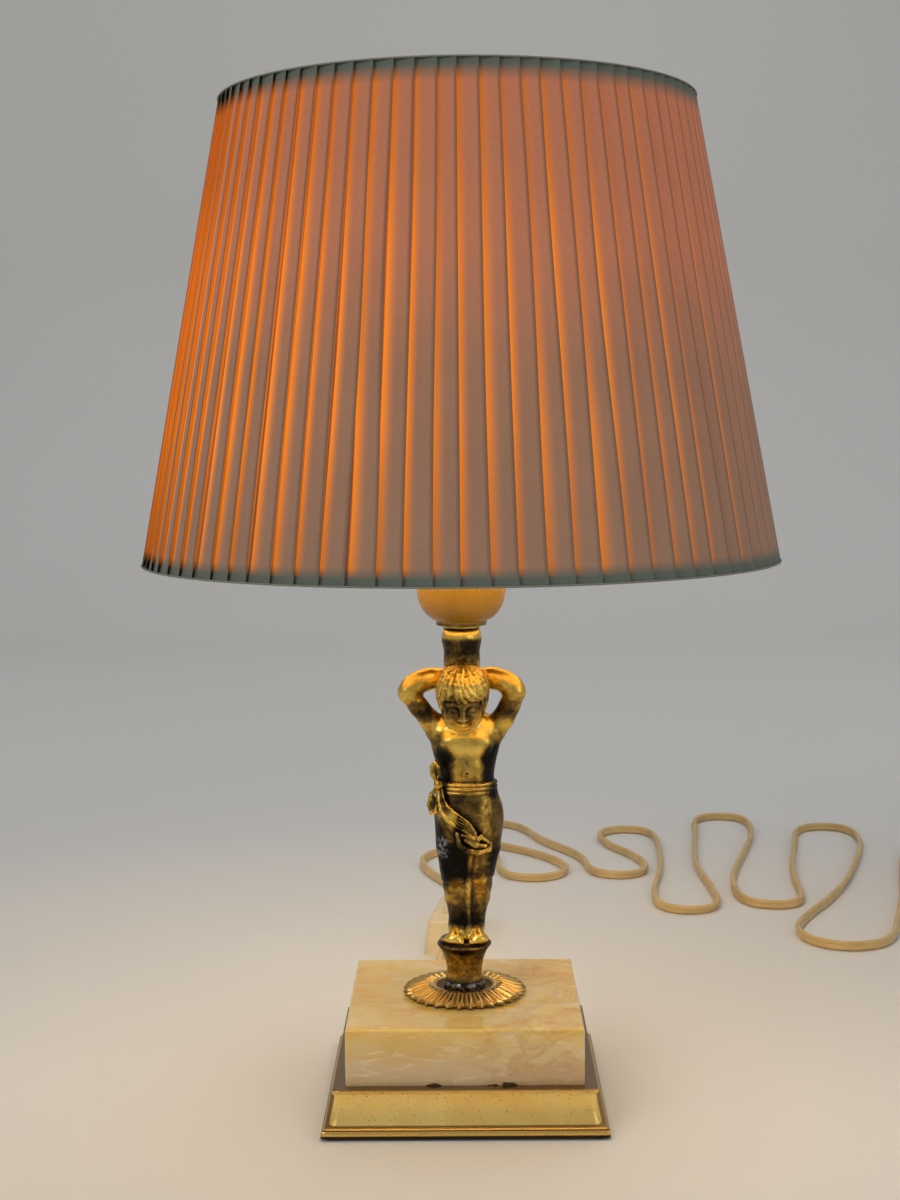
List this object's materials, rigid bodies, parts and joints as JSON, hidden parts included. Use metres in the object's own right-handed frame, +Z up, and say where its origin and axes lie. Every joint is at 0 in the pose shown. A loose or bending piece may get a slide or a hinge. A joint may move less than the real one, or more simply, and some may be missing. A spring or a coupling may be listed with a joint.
{
  "type": "table lamp",
  "caption": "Table lamp: gilt cast figure against a column, on a brass rosette, onyx block and brass plinth, with a pleated drum-cone shade and an in-line switched flex.",
  "frame": {"origin": "centre of the lamp's underside, on the surface that it stands on", "axes": "+Z up along the column, -Y the way the figure looks, the flex leaves towards +Y"},
  "size_m": [0.5207, 0.6801, 0.43],
  "materials": {
    "felt": "dark green felt",
    "fibreboard": "pressed fibreboard",
    "plinth_brass": "pressed brass, polished and pitted, dark in the recesses",
    "onyx": "polished honey onyx with orange-brown veins",
    "pipe_steel": "plain zinc-plated steel",
    "rosette_brass": "polished brass with a dark well",
    "figure_gilt": "antique gilt casting with black patina in the hollows",
    "lampholder_ivory": "ivory moulded plastic",
    "insert_ceramic": "white porcelain",
    "contact_brass": "plain sprung brass",
    "screw_steel": "plated steel",
    "cap_aluminium": "rolled aluminium",
    "bulb_glass": "frosted glass",
    "stem_glass": "clear glass",
    "filament": "tungsten wire on nickel supports",
    "shade_cloth": "knife-pleated pinkish beige cloth",
    "shade_lining": "white backing sheet",
    "hem_tape": "woven hem tape",
    "frame_wire": "white coated wire",
    "shade_ring_ivory": "ivory moulded plastic",
    "flex_ivory": "yellowed ivory cord sheath",
    "sleeve_ivory": "soft ivory sleeve",
    "switch_ivory": "ivory moulded plastic",
    "plug_ivory": "ivory moulded plastic",
    "plug_brass": "nickel-dulled brass pins"
  },
  "bodies": {
    "root": {"felt_pad": "felt", "bottom_board": "fibreboard", "base_plinth": "plinth_brass", "onyx_block": "onyx", "clamp_washer": "pipe_steel", "lock_washer": "pipe_steel", "pipe_nut": "pipe_steel", "lower_pipe": "pipe_steel", "upper_pipe": "pipe_steel", "rosette": "rosette_brass", "seat_washer": "rosette_brass", "figure_casting": "figure_gilt", "holder_cup": "lampholder_ivory", "holder_barrel": "lampholder_ivory", "holder_insert": "insert_ceramic", "centre_contact": "contact_brass", "side_contact": "contact_brass", "switch_contacts": "contact_brass", "terminal_screws": "screw_steel", "switch_screws": "screw_steel", "rocker_pin": "screw_steel", "flex_inside": "flex_ivory", "flex_to_switch": "flex_ivory", "flex_to_plug": "flex_ivory", "plinth_sleeve": "sleeve_ivory", "plug_sleeve": "sleeve_ivory", "switch_base": "switch_ivory", "switch_cover": "switch_ivory", "plug_body": "plug_ivory", "plug_pins": "plug_brass"},
    "shade": {"shade_pleats": "shade_cloth", "shade_lining": "shade_lining", "shade_hem_bottom": "hem_tape", "shade_hem_top": "hem_tape", "shade_ring_wire_bottom": "frame_wire", "shade_ring_wire_top": "frame_wire", "shade_fitter": "frame_wire", "spider_arms": "frame_wire"},
    "shade_ring": {"shade_ring": "shade_ring_ivory"},
    "bulb": {"bulb_cap": "cap_aluminium", "bulb_globe": "bulb_glass", "bulb_stem": "stem_glass", "filament": "filament"},
    "rocker": {"switch_rocker": "switch_ivory"}
  },
  "joints": [
    {"name": "shade_turn", "type": "hinge", "parent": "root", "child": "shade", "pos_m": [0, 0, 0.2473], "axis": [0, 0, 1], "continuous": true},
    {"name": "shade_ring_turn", "type": "hinge", "parent": "root", "child": "shade_ring", "pos_m": [0, 0, 0.2536], "axis": [0, 0, 1], "continuous": true},
    {"name": "bulb_lift", "type": "slide", "parent": "root", "child": "bulb", "axis": [0, 0, 1], "range_m": [0, 0.215]},
    {"name": "rocker_tilt", "type": "hinge", "parent": "root", "child": "rocker", "pos_m": [-0.0055, 0.231, 0.0134], "axis": [0.9903, -0.1392, 0], "range_deg": [-8, 8]}
  ]
}
